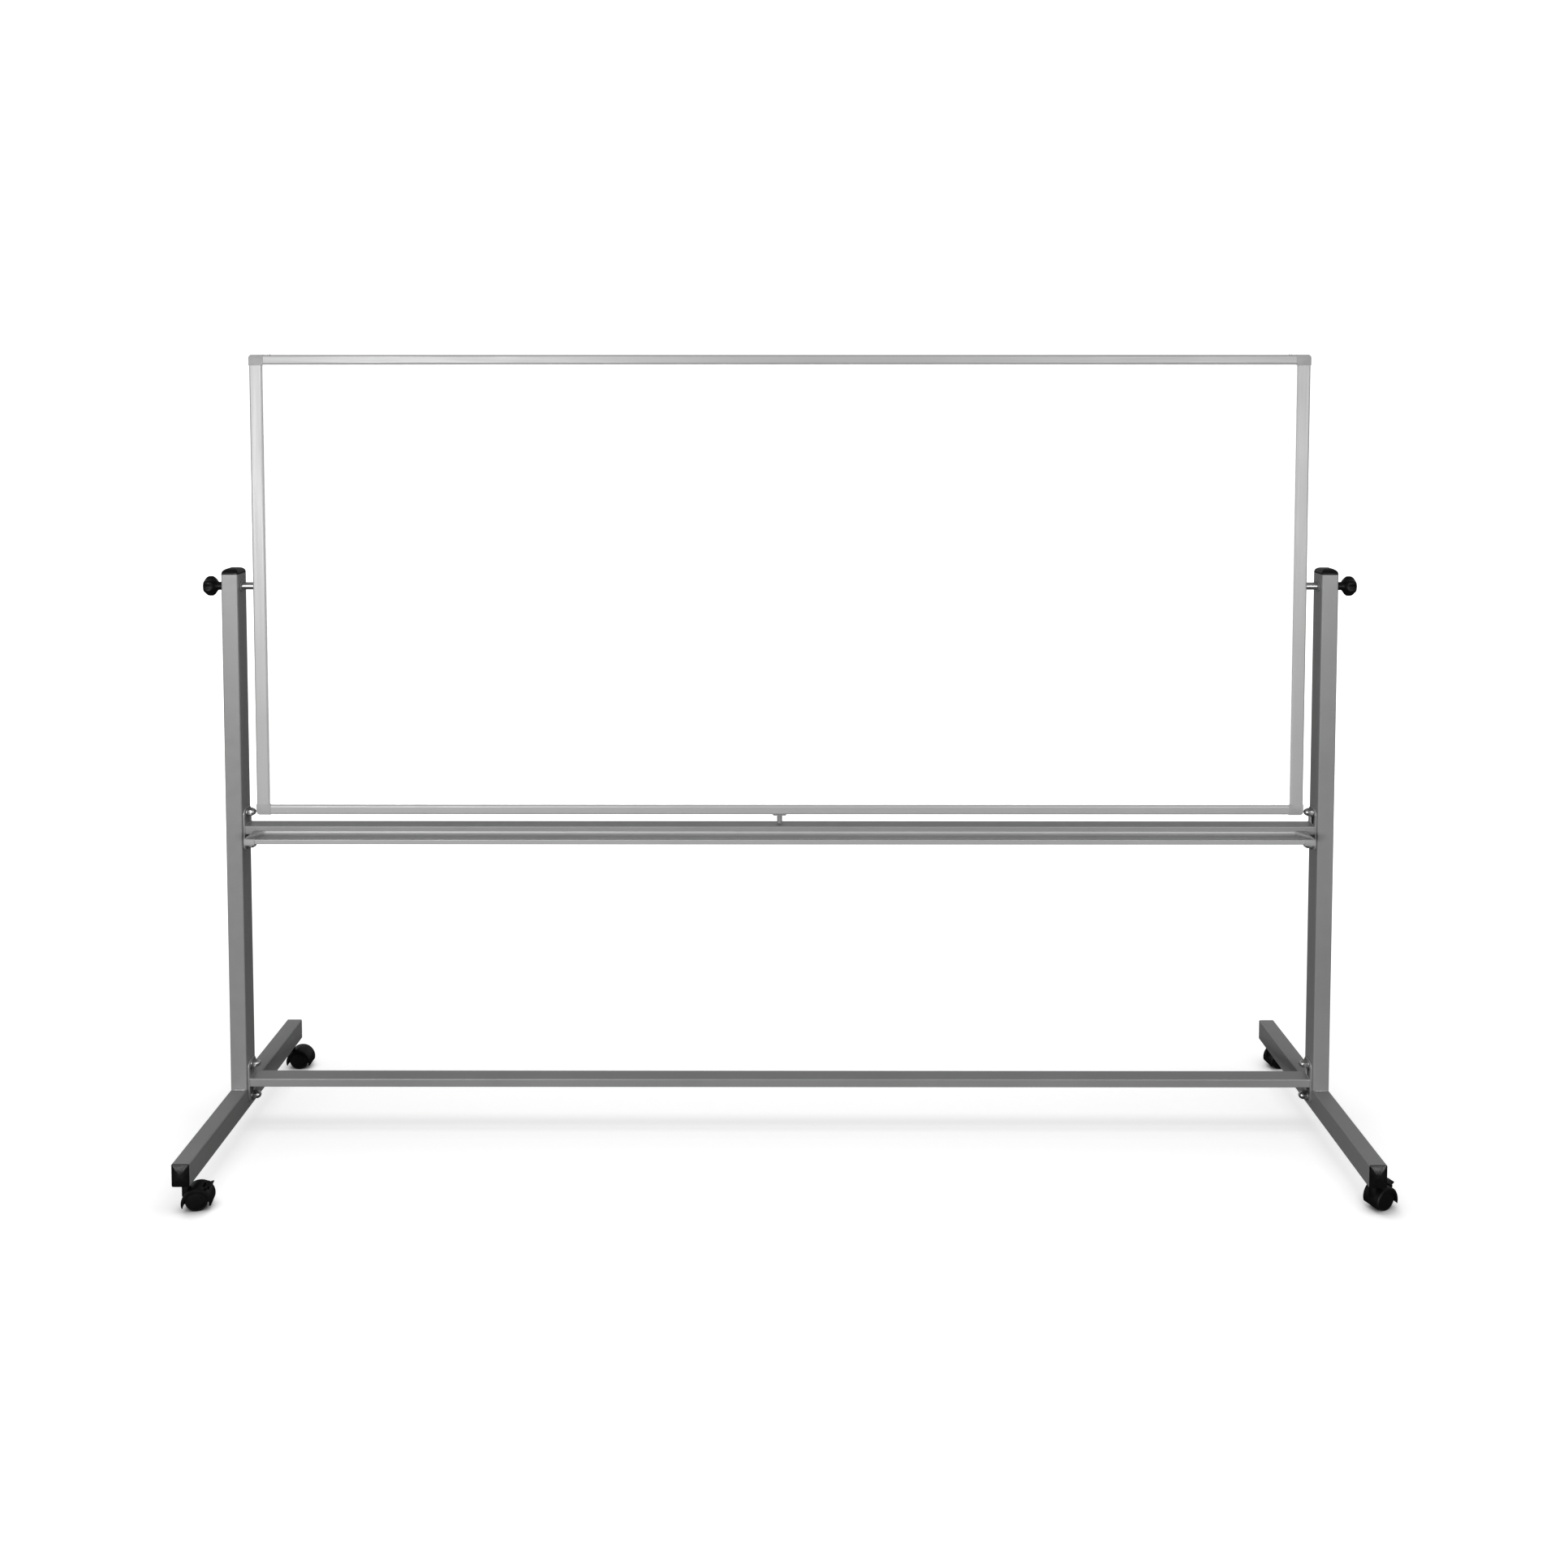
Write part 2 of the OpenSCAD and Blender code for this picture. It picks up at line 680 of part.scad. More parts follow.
// A cylinder lying along Y behind the stem, at height z
module across(z, r, half_l) {
    translate([caster_trail, 0, z]) rotate([90, 0, 0]) cylinder(r = r, h = 2 * half_l, center = true);
}

module lever_frame() {
    translate([caster_trail + lever_reach * cos(lever_angle), 0, hood_z + lever_reach * sin(lever_angle)])
        children();
}

// A cylinder over one wheel only, from y = start outwards
module over_wheel(s, z, r, start) {
    translate([caster_trail, s * start, z]) rotate([-s * 90, 0, 0]) cylinder(r = r, h = hood_half_w);
}

// Flattened shell with bevelled rims, open below, hollowed for one wheel on each side of a web
module hood_shell() {
    difference() {
        union() {
            across(hood_z, hood_r, hood_half_w - hood_bevel_w);
            for (s = [-1, 1]) translate([caster_trail, s * (hood_half_w - hood_bevel_w), hood_z])
                rotate([-s * 90, 0, 0]) cylinder(r1 = hood_r, r2 = hood_r - hood_bevel_r, h = hood_bevel_w);
        }
        for (s = [-1, 1]) {
            translate([caster_trail, s * (web_half_t + well_half_w) / 2, well_z]) rotate([90, 0, 0])
                cylinder(r = well_r, h = well_half_w - web_half_t, center = true);
            over_wheel(s, window_z, window_r, well_half_w - 1);
        }
    }
}

module lever_lugs() {
    lever_frame() for (s = [-1, 1])
        translate([0, s * (lever_half_w + lever_side_gap + lug_t / 2), 0]) rotate([90, 0, 0])
            linear_extrude(height = lug_t, center = true) union() {
                circle(r = lug_r);
                rotate(lever_angle) translate([-lug_foot, -lug_r]) square([lug_foot, 2 * lug_r]);
            }
}

// Shell with the neck that turns on the stem, and the lugs of the brake lever
module hood(braked) {
    color(black) difference() {
        union() {
            hood_shell();
            difference() {
                translate([0, 0, neck_low]) cylinder(r = neck_r, h = neck_top - neck_low);
                for (s = [-1, 1]) over_wheel(s, well_z, well_r + 0.6, web_half_t - 1);
            }
            if (braked) lever_lugs();
        }
        translate([-2 * wheel_r, -50, -wheel_r]) cube([6 * wheel_r, 100, hood_low + wheel_r]);
        across(wheel_r, axle_r, web_half_t + eps);
        translate([0, 0, stem_low]) cylinder(r = stem_r + running_gap, h = neck_top);
        if (braked) lever_frame() {
            rotate([90, 0, 0]) cylinder(r = lever_pin_r + running_gap, h = 40, center = true);
            rotate([0, -lever_angle, 0]) translate([-4, 0, 0])
                cube([16, 2 * lever_half_w + lever_side_gap, 15], center = true);
        }
    }
}

module axle() {
    color(zinc) across(wheel_r, axle_r - 0.01, axle_half_l);
}

// Nylon wheel with a rounded tread and a shallow dished face; s is the side of the web it runs on
module wheel(s) {
    w = wheel_out - wheel_in;
    edge = 4;
    color(black) translate([caster_trail, s * wheel_in, wheel_r]) rotate([-s * 90, 0, 0]) difference() {
        rotate_extrude($fn = 64) polygon(concat(
            [[0, 0], [wheel_r - 1, 0], [wheel_r, 1]],
            arc(wheel_r - edge, w - edge, edge, 0, 90),
            [[wheel_r - edge - 3, w - 1.2], [0, w - 0.2]]));
        translate([0, 0, -eps]) cylinder(r = axle_r + running_gap, h = axle_half_l - wheel_in + 0.3 + eps);
    }
}

// Thumb tab, boss and a cam that closes on both treads when the tab is pressed down
module brake_lever() {
    color(black) lever_frame() {
        rotate([90, 0, 0]) linear_extrude(height = 2 * lever_half_w, center = true) union() {
            circle(r = lever_boss_r);
            rotate(15) polygon([[0, -2.6], [4, -2.2], [lever_tab_l, 0], [lever_tab_l + 0.8, 1.2],
                [lever_tab_l - 1, 2.2], [0, 2.9]]);
            rotate(lever_angle + 180 + cam_lift) polygon([[1, -2], [cam_l - 0.5, -1.4], [cam_l, 0],
                [cam_l - 0.5, 1.4], [1, 2]]);
        }
        rotate([90, 0, 0])
            cylinder(r = lever_pin_r, h = 2 * (lever_half_w + lever_side_gap + lug_t), center = true);
    }
}

module at_caster(side, end) {
    turn = end == FRONT ? (side == LEFT ? turn_front_left : turn_front_right)
        : (side == LEFT ? turn_rear_left : turn_rear_right);
    translate([side * post_x, end * caster_y, 0]) rotate(turn) children();
}

// ---------- nodes ----------

post(LEFT);  // post_left
post(RIGHT);  // post_right
foot(LEFT);  // foot_left
foot(RIGHT);  // foot_right
post_caps();
foot_end_caps();
crossbar(upper_bar_z, tray_screw_x);  // upper_crossbar
crossbar(lower_bar_z, []);  // lower_crossbar
crossbar_end_plates();
weld_studs();
stud_washers();
acorn_nuts();
marker_tray();
tray_end_cap(LEFT);  // tray_end_cap_left
tray_end_cap(RIGHT);  // tray_end_cap_right
tray_screws();
pivot_bushes();
caster_sockets();
caster_stems();
board_core();
writing_sheet(FRONT);  // front_writing_sheet
writing_sheet(REAR);  // rear_writing_sheet
frame_rail(1);  // frame_rail_top
frame_rail(-1);  // frame_rail_bottom
frame_stile(LEFT);  // frame_stile_left
frame_stile(RIGHT);  // frame_stile_right
corner_caps();
frame_screws();
pivot_shaft(LEFT);  // pivot_shaft_left
pivot_shaft(RIGHT);  // pivot_shaft_right
pivot_plates();
latch_body();
latch_screws();
latch_spring();
latch_plunger();
knob_washer(LEFT);  // knob_washer_left
knob_washer(RIGHT);  // knob_washer_right
knob_insert(LEFT);  // knob_insert_left
knob_insert(RIGHT);  // knob_insert_right
knob(LEFT);  // knob_left
knob(RIGHT);  // knob_right
at_caster(LEFT, FRONT) hood(true);  // caster_hood_front_left
at_caster(RIGHT, FRONT) hood(true);  // caster_hood_front_right
at_caster(LEFT, REAR) hood(false);  // caster_hood_rear_left
at_caster(RIGHT, REAR) hood(false);  // caster_hood_rear_right
at_caster(LEFT, FRONT) axle();  // axle_front_left
at_caster(RIGHT, FRONT) axle();  // axle_front_right
at_caster(LEFT, REAR) axle();  // axle_rear_left
at_caster(RIGHT, REAR) axle();  // axle_rear_right
at_caster(LEFT, FRONT) wheel(FRONT);  // wheel_front_left_outer
at_caster(LEFT, FRONT) wheel(REAR);  // wheel_front_left_inner
at_caster(RIGHT, FRONT) wheel(FRONT);  // wheel_front_right_outer
at_caster(RIGHT, FRONT) wheel(REAR);  // wheel_front_right_inner
at_caster(LEFT, REAR) wheel(REAR);  // wheel_rear_left_outer
at_caster(LEFT, REAR) wheel(FRONT);  // wheel_rear_left_inner
at_caster(RIGHT, REAR) wheel(REAR);  // wheel_rear_right_outer
at_caster(RIGHT, REAR) wheel(FRONT);  // wheel_rear_right_inner
at_caster(LEFT, FRONT) brake_lever();  // brake_lever_left
at_caster(RIGHT, FRONT) brake_lever();  // brake_lever_right
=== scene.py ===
import json
import math

import bpy
from mathutils import Matrix, Vector

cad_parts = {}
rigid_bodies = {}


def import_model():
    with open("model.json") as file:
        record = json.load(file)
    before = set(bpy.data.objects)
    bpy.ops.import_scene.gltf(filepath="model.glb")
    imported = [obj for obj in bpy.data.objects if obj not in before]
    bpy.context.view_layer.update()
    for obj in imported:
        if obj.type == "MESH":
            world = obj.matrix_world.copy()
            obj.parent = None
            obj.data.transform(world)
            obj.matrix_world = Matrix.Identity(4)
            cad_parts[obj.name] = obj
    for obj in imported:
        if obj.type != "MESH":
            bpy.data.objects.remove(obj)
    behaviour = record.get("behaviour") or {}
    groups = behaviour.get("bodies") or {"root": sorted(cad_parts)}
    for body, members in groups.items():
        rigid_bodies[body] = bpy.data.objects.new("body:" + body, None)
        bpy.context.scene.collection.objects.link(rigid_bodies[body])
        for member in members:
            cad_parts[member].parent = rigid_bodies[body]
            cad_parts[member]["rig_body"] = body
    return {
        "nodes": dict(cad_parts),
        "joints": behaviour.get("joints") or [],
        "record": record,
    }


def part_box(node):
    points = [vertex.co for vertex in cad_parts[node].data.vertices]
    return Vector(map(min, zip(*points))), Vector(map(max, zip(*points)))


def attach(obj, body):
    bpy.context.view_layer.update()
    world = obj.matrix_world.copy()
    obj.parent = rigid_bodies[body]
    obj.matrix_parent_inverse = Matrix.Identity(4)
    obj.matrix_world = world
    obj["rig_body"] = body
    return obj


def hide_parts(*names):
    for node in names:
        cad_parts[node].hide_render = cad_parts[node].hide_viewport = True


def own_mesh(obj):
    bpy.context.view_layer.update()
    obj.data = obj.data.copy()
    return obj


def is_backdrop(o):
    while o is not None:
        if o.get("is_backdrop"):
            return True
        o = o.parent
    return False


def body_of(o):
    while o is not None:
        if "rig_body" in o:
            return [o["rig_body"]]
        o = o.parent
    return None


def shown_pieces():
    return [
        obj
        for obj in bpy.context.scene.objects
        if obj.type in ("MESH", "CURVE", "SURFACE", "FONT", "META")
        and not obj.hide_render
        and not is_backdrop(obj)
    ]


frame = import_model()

MM = 0.001
SIDES = {"left": -1, "right": 1}
CASTERS = [(end, side) for end in ("front", "rear") for side in ("left", "right")]
JOINTS = {joint["name"]: joint for joint in frame["joints"]}
SLOT_OF = {part["node"]: part["material_slot"] for part in frame["record"]["subparts"]}
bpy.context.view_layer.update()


# ---------- materials ----------

class Graph:
    """A material's node tree, with short ways to add texture, wear and bump."""

    def __init__(self, name):
        self.material = bpy.data.materials.new(name)
        self.material.use_nodes = True
        self.nodes = self.material.node_tree.nodes
        self.links = self.material.node_tree.links
        self.shader = self.nodes["Principled BSDF"]
        self.place = self.add("ShaderNodeTexCoord").outputs["Object"]

    def put(self, socket, value):
        if isinstance(value, bpy.types.NodeSocket):
            self.links.new(value, socket)
        else:
            socket.default_value = value

    def add(self, kind, inputs=None, **settings):
        node = self.nodes.new(kind)
        for name, value in settings.items():
            setattr(node, name, value)
        for key, value in (inputs or {}).items():
            self.put(node.inputs[key], value)
        return node

    def set(self, **values):
        for key, value in values.items():
            self.put(self.shader.inputs[key.replace("_", " ")], value)

    def noise(self, per_metre, detail=2.0, stretch=(1, 1, 1), distortion=0.0):
        """Noise from 0 to 1, per_metre blotches to a metre, drawn out along axes whose stretch is low."""
        mapped = self.add("ShaderNodeMapping", {"Vector": self.place, "Scale": stretch})
        settings = {"Vector": mapped.outputs[0], "Scale": per_metre, "Detail": detail,
                    "Distortion": distortion}
        return self.add("ShaderNodeTexNoise", settings).outputs["Fac"]

    def spread(self, value, low, high, from_low=0.3, from_high=0.7):
        return self.add("ShaderNodeMapRange", {"Value": value, "From Min": from_low, "From Max": from_high,
                                               "To Min": low, "To Max": high}).outputs["Result"]

    def times(self, a, b):
        return self.add("ShaderNodeMath", {0: a, 1: b}, operation="MULTIPLY").outputs[0]

    def blend(self, share, a, b):
        return self.add("ShaderNodeMix", {0: share, 6: a, 7: b}, data_type="RGBA").outputs[2]

    def edges(self, radius):
        """1 on worn edges and 0 on open faces: how far a rounded normal leans from the real one."""
        soft = self.add("ShaderNodeBevel", {"Radius": radius}, samples=3).outputs[0]
        flat = self.add("ShaderNodeNewGeometry").outputs["Normal"]
        lean = self.add("ShaderNodeVectorMath", {0: soft, 1: flat}, operation="DOT_PRODUCT").outputs["Value"]
        return self.add("ShaderNodeMapRange", {"Value": lean, "From Min": 0.97, "From Max": 0.8,
                                               "To Min": 0.0, "To Max": 1.0}).outputs["Result"]

    def bump(self, height, distance, strength=1.0):
        return self.add("ShaderNodeBump", {"Height": height, "Distance": distance,
                                           "Strength": strength}).outputs["Normal"]


def grey(value, warm=0.0):
    return (value * (1 + warm), value, value * (1 - warm), 1)


def coated_metal(name, tone, roughness=0.36):
    """Silver-grey powder coat: fine orange peel, faint clouding, rubbed edges."""
    g = Graph(name)
    cloud = g.spread(g.noise(5, 3), 0.0, 1.0)
    colour = g.blend(cloud, grey(tone * 0.95), grey(tone * 1.04))
    speck = g.spread(g.noise(2600, 1), 0.0, 1.0, 0.62, 0.72)
    colour = g.blend(g.times(speck, 0.35), colour, grey(tone * 1.9))
    worn = g.times(g.edges(0.0012), g.spread(g.noise(90, 3), 0.0, 0.3, 0.45, 0.65))
    g.set(Base_Color=g.blend(worn, colour, grey(tone * 1.6)), Metallic=0.12,
          Roughness=g.spread(g.noise(40, 3), roughness - 0.03, roughness + 0.05),
          Normal=g.bump(g.noise(700, 2), 0.00012, 0.3))
    return g.material


def drawn_aluminium(name, tone, stretch, roughness=0.40):
    """Satin anodised extrusion: fine die lines along its length, soft clouding, brighter edges."""
    g = Graph(name)
    lines = g.noise(1500, 2, stretch)
    cloud = g.spread(g.noise(9, 2), 0.0, 1.0)
    colour = g.blend(cloud, grey(tone * 0.97), grey(tone * 1.03))
    colour = g.blend(g.times(g.spread(lines, 0.0, 1.0), 0.25), colour, grey(tone * 0.82))
    worn = g.times(g.edges(0.0008), g.spread(g.noise(120, 2), 0.0, 0.5))
    g.set(Base_Color=g.blend(worn, colour, grey(min(tone * 1.3, 0.95))), Metallic=0.17,
          Roughness=g.spread(lines, roughness - 0.06, roughness + 0.08),
          Normal=g.bump(lines, 0.00004, 0.4))
    return g.material


def moulded_plastic(name, tone, roughness, specular=0.4, grain=1800, edge_tone=1.6):
    """Moulded plastic: fine spark-eroded grain, slight colour drift, burnished edges."""
    g = Graph(name)
    cloud = g.spread(g.noise(30, 3), 0.0, 1.0)
    colour = g.blend(cloud, grey(tone * 0.88), grey(tone * 1.12))
    scuff = g.times(g.edges(0.001), g.spread(g.noise(160, 3), 0.0, 0.8, 0.4, 0.62))
    g.set(Base_Color=g.blend(scuff, colour, grey(tone * edge_tone + 0.002)),
          Roughness=g.spread(g.noise(55, 3), roughness - 0.06, roughness + 0.08),
          Normal=g.bump(g.noise(grain, 2), 0.00008, 0.4))
    g.shader.inputs["Specular IOR Level"].default_value = specular
    return g.material


def plated_steel(name, tone, roughness=0.33):
    """Bright zinc plate with faint brushing and dulled patches."""
    g = Graph(name)
    patch = g.spread(g.noise(140, 3), 0.0, 1.0)
    g.set(Base_Color=g.blend(patch, grey(tone * 0.94), grey(tone * 1.04)), Metallic=1.0,
          Roughness=g.spread(g.noise(420, 3), roughness - 0.04, roughness + 0.06),
          Normal=g.bump(g.noise(2200, 2), 0.00002, 0.2))
    return g.material


def writing_enamel(name):
    """Glossy white enamel on steel: barely wavy, with a trace of wiped haze."""
    g = Graph(name)
    haze = g.spread(g.noise(3.5, 4, (1, 1, 1.8), 0.6), 0.0, 1.0, 0.4, 0.75)
    g.set(Base_Color=g.blend(g.times(haze, 0.35), grey(0.93), grey(0.90)),
          Roughness=g.spread(g.noise(14, 3), 0.20, 0.27),
          Normal=g.bump(g.noise(4, 2), 0.0012, 0.12))
    return g.material


def raw_fibreboard(name):
    g = Graph(name)
    fibre = g.spread(g.noise(900, 4), 0.0, 1.0)
    g.set(Base_Color=g.blend(fibre, (0.22, 0.15, 0.08, 1), (0.38, 0.28, 0.17, 1)), Roughness=0.8,
          Normal=g.bump(g.noise(1400, 3), 0.0002, 0.5))
    return g.material


ALONG_X = (0.004, 1, 1)
ALONG_Z = (1, 1, 0.004)
SURFACES = {
    "grey_paint": coated_metal("powder_coat", 0.27),
    "anodised_aluminium": drawn_aluminium("aluminium_along_x", 0.43, ALONG_X),
    "aluminium_upright": drawn_aluminium("aluminium_along_z", 0.45, ALONG_Z),
    "grey_plastic": moulded_plastic("grey_moulding", 0.38, 0.48),
    "black_plastic": moulded_plastic("black_moulding", 0.0025, 0.42, 0.18),
    "black_gloss": moulded_plastic("black_cap_moulding", 0.0025, 0.27, 0.24, 1200),
    "black_tread": moulded_plastic("wheel_tread", 0.004, 0.55, 0.18, 900, 2.0),
    "zinc_steel": plated_steel("zinc_plate", 0.50),
    "white_enamel": writing_enamel("enamel"),
    "grey_nylon": moulded_plastic("bush_nylon", 0.20, 0.45),
    "fibreboard": raw_fibreboard("board_core_fibre"),
}


# ---------- mesh building ----------

class Shape:
    """Vertices and faces in metres, built up from lofts of rings."""

    def __init__(self):
        self.points = []
        self.faces = []
        self.tags = []

    def loft(self, rings, place=None, wrap=False, capped=True, tag=0):
        """Joins rings of equally many points; place is a matrix that puts them in the frame."""
        place = place or Matrix()
        first = len(self.points)
        count = len(rings[0])
        for ring in rings:
            self.points.extend(place @ Vector(p) for p in ring)
        last = len(rings) if wrap else len(rings) - 1
        before = len(self.faces)
        for i in range(last):
            low = first + i * count
            high = first + (i + 1) % len(rings) * count
            for j in range(count):
                k = (j + 1) % count
                self.faces.append((low + j, low + k, high + k, high + j))
        if capped and not wrap:
            self.faces.append(tuple(reversed(range(first, first + count))))
            self.faces.append(tuple(range(first + (len(rings) - 1) * count, first + len(rings) * count)))
        self.tags.extend([tag] * (len(self.faces) - before))

    def object(self, name, materials, body, stands_for=(), angle=35):
        mesh = bpy.data.meshes.new(name)
        mesh.from_pydata([tuple(p) for p in self.points], [], self.faces)
        for material in materials:
            mesh.materials.append(material)
        mesh.polygons.foreach_set("material_index", self.tags)
        smooth(mesh, angle)
        piece = bpy.data.objects.new(name, mesh)
        bpy.context.scene.collection.objects.link(piece)
        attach(piece, body)
        if stands_for:
            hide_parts(*stands_for)
        return piece


def smooth(mesh, angle):
    mesh.update()
    mesh.shade_smooth()
    mesh.set_sharp_from_angle(angle=math.radians(angle))


def circle_ring(radius, height, count, lobes=0, depth=0.0):
    """A ring round Z; with lobes, its radius dips by depth between them."""
    ring = []
    for i in range(count):
        turn = 2 * math.pi * i / count
        r = radius * (1 - depth * (0.5 - 0.5 * math.cos(lobes * turn)))
        ring.append((r * math.cos(turn), r * math.sin(turn), height))
    return ring


def rounded_outline(width, depth, radius, steps=6):
    """Points round a rectangle with rounded corners, centred on the origin."""
    points = []
    corners = ((1, 1, 0), (-1, 1, 90), (-1, -1, 180), (1, -1, 270))
    for sx, sy, start in corners:
        for i in range(steps + 1):
            a = math.radians(start + 90 * i / steps)
            points.append((sx * (width / 2 - radius) + radius * math.cos(a),
                           sy * (depth / 2 - radius) + radius * math.sin(a)))
    return points


def dome(share):
    """Height of a full dome, as a share of its rise, at a share of its half width."""
    return (1 - share ** 2.6) ** 0.42


def pillow(share):
    """Height of a shallow pillow that meets its rim at a slope."""
    return 1 - share ** 2


CAP_CORNER = 3 * MM
CAP_SKIRT = 0.8 * MM
CAP_STEPS = 16


def domed_cap(shape, width, depth, rise, profile, place):
    """A tube plug with a thin skirt and a bulging face that keeps its rounded-rectangle outline."""
    outline = rounded_outline(width, depth, CAP_CORNER)
    skirt = CAP_SKIRT
    tucked_in, full = 0.985, 1.0
    levels = ((tucked_in, -0.4 * MM), (tucked_in, 0), (full, 0.25 * MM), (full, skirt - 0.3 * MM))
    rim = [[(x * f, y * f, z) for x, y in outline] for f, z in levels]
    bulge = []
    for i in range(CAP_STEPS):
        share = math.cos(math.pi / 2 * i / CAP_STEPS) * 0.99
        bulge.append([(x * share, y * share, skirt + (rise - skirt) * profile(share)) for x, y in outline])
    shape.loft(rim + bulge, place)


BEAD_SIDES = 10
BEAD_PITCH = 2.2 * MM
BEAD_SWELL = 0.12


def bead(shape, path, radius, closed):
    """A weld bead along a path of (point, outward normal), swelling and shrinking like stacked ripples."""
    rings = []
    for i, (point, normal) in enumerate(path):
        ahead = path[(i + 1) % len(path)][0] if closed or i + 1 < len(path) else point
        behind = path[i - 1][0] if closed or i > 0 else point
        along = (Vector(ahead) - Vector(behind)).normalized()
        normal = Vector(normal)
        side = along.cross(normal).normalized()
        r = radius * (1 + BEAD_SWELL * math.sin(i * 1.9))
        if not closed:
            r *= math.sqrt(max(0.05, 1 - (2 * i / (len(path) - 1) - 1) ** 6))
        rings.append([tuple(Vector(point) + r * math.cos(t) * normal + r * math.sin(t) * side)
                      for t in (2 * math.pi * j / BEAD_SIDES for j in range(BEAD_SIDES))])
    shape.loft(rings, wrap=closed)


def along_path(corners, spacing):
    """Evenly spaced points along straight stretches between the corners."""
    points = []
    for a, b in zip(corners, corners[1:]):
        steps = max(1, round((Vector(b) - Vector(a)).length / spacing))
        points.extend(Vector(a).lerp(Vector(b), i / steps) for i in range(steps))
    points.append(Vector(corners[-1]))
    return points


# ---------- CAD nodes: finishes and softened edges ----------

UPRIGHT = {"frame_stile_left", "frame_stile_right"}
SOFTENED = {  # edge radius in millimetres
    "corner_caps": 0.8, "tray_end_cap_left": 0.7, "tray_end_cap_right": 0.7, "crossbar_end_plates": 0.6,
    "acorn_nuts": 0.5, "stud_washers": 0.3, "latch_body": 0.5, "pivot_bushes": 0.4,
    "knob_washer_left": 0.4, "knob_washer_right": 0.4, "brake_lever_left": 0.4, "brake_lever_right": 0.4,
}
for end, side in CASTERS:
    SOFTENED[f"caster_hood_{end}_{side}"] = 0.7


def finish_node(name, node):
    slot = SLOT_OF[name]
    key = "aluminium_upright" if name in UPRIGHT else slot
    node.data.materials.clear()
    node.data.materials.append(SURFACES[key])
    smooth(node.data, 30)
    if name in SOFTENED:
        joined = node.modifiers.new("weld", "WELD")
        joined.merge_threshold = 0.005 * MM
        soft = node.modifiers.new("soft_edge", "BEVEL")
        soft.width = SOFTENED[name] * MM
        soft.segments = 3
        soft.limit_method = "ANGLE"
        soft.angle_limit = math.radians(40)
        soft.harden_normals = True


for name, node in frame["nodes"].items():
    finish_node(name, node)


# ---------- stand ----------

def build_post_caps():
    shape = Shape()
    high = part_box("post_caps")[1]
    for side in SIDES:
        post_low, post_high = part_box(f"post_{side}")
        size = post_high - post_low
        centre = (post_low + post_high) / 2
        domed_cap(shape, size.x, size.y, high.z - post_high.z, dome,
                  Matrix.Translation((centre.x, centre.y, post_high.z)))
    shape.object("post_cap_domes", [SURFACES["black_plastic"]], "stand", ["post_caps"])


def build_foot_caps():
    shape = Shape()
    caps_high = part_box("foot_end_caps")[1]
    for side in SIDES:
        low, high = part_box(f"foot_{side}")
        centre = (low + high) / 2
        for end, y in ((-1, low.y), (1, high.y)):
            turn = Matrix.Rotation(-end * math.pi / 2, 4, "X")
            domed_cap(shape, high.x - low.x, high.z - low.z, caps_high.y - high.y, pillow,
                      Matrix.Translation((centre.x, y, centre.z)) @ turn)
    shape.object("foot_cap_domes", [SURFACES["black_gloss"]], "stand", ["foot_end_caps"])


CROSSBAR_CORNER = 2.5 * MM
CROSSBAR_BEAD = 1.7 * MM
POST_BEAD = 2.2 * MM


def build_welds():
    """Beads round both ends of each crossbar and along the front and rear of each post's foot."""
    shape = Shape()
    for bar in ("upper_crossbar", "lower_crossbar"):
        low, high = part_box(bar)
        outline = rounded_outline(high.y - low.y, high.z - low.z, CROSSBAR_CORNER, 4)
        corners = [(0, y, z + (low.z + high.z) / 2) for y, z in outline]
        corners.append(corners[0])
        ring = along_path(corners, BEAD_PITCH)[:-1]
        middle = Vector((0, 0, (low.z + high.z) / 2))
        for x in (low.x, high.x):
            path = [(p + Vector((x, 0, 0)), (p - middle).normalized()) for p in ring]
            bead(shape, path, CROSSBAR_BEAD, True)
    for side in SIDES:
        low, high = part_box(f"post_{side}")
        for y, out in ((low.y, -1), (high.y, 1)):
            line = along_path([(low.x + 2 * MM, y, low.z), (high.x - 2 * MM, y, low.z)], BEAD_PITCH)
            bead(shape, [(p, (0, out, 0)) for p in line], POST_BEAD, False)
    shape.object("weld_beads", [SURFACES["grey_paint"]], "stand")


GUSSET_WALL = 1.1 * MM
GUSSET_FRONT = 2.6 * MM
TRAY_SHEET = 1.5 * MM
SCOOP_STEPS = 12
SCOOP_PULL = 0.30


def build_tray_gussets():
    """The moulded corner inside each tray end cap, which leaves a curved scoop in front of it."""
    shape = Shape()
    floor_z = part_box("marker_tray")[0].z + TRAY_SHEET
    for side, sign in SIDES.items():
        low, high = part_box(f"tray_end_cap_{side}")
        outer, inner = (low.x + GUSSET_WALL, high.x) if sign < 0 else (high.x - GUSSET_WALL, low.x)
        front, back = low.y + GUSSET_FRONT, high.y - GUSSET_WALL
        pull = Vector((outer, back)).lerp(Vector((inner, front)), SCOOP_PULL)
        plan = [Vector((outer, front)), Vector((outer, back)), Vector((inner, back))]
        for i in range(1, SCOOP_STEPS):
            t = i / SCOOP_STEPS
            plan.append(plan[2].lerp(pull, t).lerp(pull.lerp(plan[0], t), t))
        if sign > 0:
            plan.reverse()
        middle = (plan[0] + plan[1] + plan[2]) / 3
        top = [p.lerp(middle, 0.02) for p in plan]
        rings = [[(p.x, p.y, z) for p in outline] for outline, z in
                 ((plan, floor_z), (plan, high.z - 1.2 * MM), (top, high.z - 0.7 * MM))]
        shape.loft(rings)
    shape.object("tray_cap_gussets", [SURFACES["grey_plastic"]], "stand")


# ---------- knobs ----------

